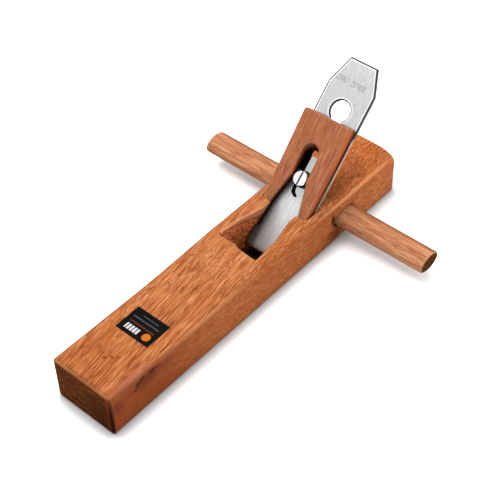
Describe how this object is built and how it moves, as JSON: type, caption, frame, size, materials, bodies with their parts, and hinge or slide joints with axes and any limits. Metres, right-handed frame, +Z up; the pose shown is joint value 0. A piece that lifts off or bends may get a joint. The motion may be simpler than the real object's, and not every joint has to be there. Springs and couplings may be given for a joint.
{
  "type": "wooden hand plane",
  "caption": "Long wooden bench plane with a cross handle, a forked wedge, and a slotted iron with a cap iron clamped to it by a slotted screw.",
  "frame": {"origin": "middle of the sole", "axes": "+X to the plane's right-hand side along the cross handle, +Y from the toe to the heel, +Z up"},
  "size_m": [0.237, 0.35, 0.1334],
  "materials": {
    "body_wood": "oiled reddish-brown hardwood, streaky grain along the body",
    "handle_wood": "oiled hardwood, a little paler than the body",
    "wedge_wood": "dry pinkish-brown hardwood",
    "iron_steel": "ground satin steel with polished edges",
    "cap_steel": "ground satin steel",
    "screw_steel": "bright turned steel",
    "black_steel": "blackened steel",
    "nut_steel": "dull steel",
    "label_film": "thin black self-adhesive film"
  },
  "bodies": {
    "body": {"plane_body": "body_wood", "label": "label_film"},
    "handle": {"cross_handle": "handle_wood"},
    "wedge": {"wedge": "wedge_wood"},
    "iron": {"plane_iron": "iron_steel"},
    "clamp": {"screw_washer": "black_steel", "screw_nut": "nut_steel"},
    "cap": {"cap_iron": "cap_steel"},
    "screw": {"cap_screw": "screw_steel"}
  },
  "joints": [
    {"name": "handle_slide", "type": "slide", "parent": "body", "child": "handle", "axis": [1, 0, 0], "range_m": [-0.04, 0.04]},
    {"name": "wedge_slide", "type": "slide", "parent": "body", "child": "wedge", "axis": [0, 0.7071, 0.7071], "range_m": [0, 0.04]},
    {"name": "iron_slide", "type": "slide", "parent": "body", "child": "iron", "axis": [0, 0.7071, 0.7071], "range_m": [-0.0096, 0.01]},
    {"name": "clamp_slide", "type": "slide", "parent": "iron", "child": "clamp", "axis": [0, 0.7071, 0.7071], "range_m": [0, 0.008]},
    {"name": "cap_slide", "type": "slide", "parent": "clamp", "child": "cap", "axis": [0, 0.7071, 0.7071], "range_m": [-0.0003, 0.012]},
    {"name": "screw_turn", "type": "hinge", "parent": "clamp", "child": "screw", "pos_m": [0, 0.08744, 0.05494], "axis": [0, -0.7071, 0.7071], "range_deg": [0, 360]}
  ]
}
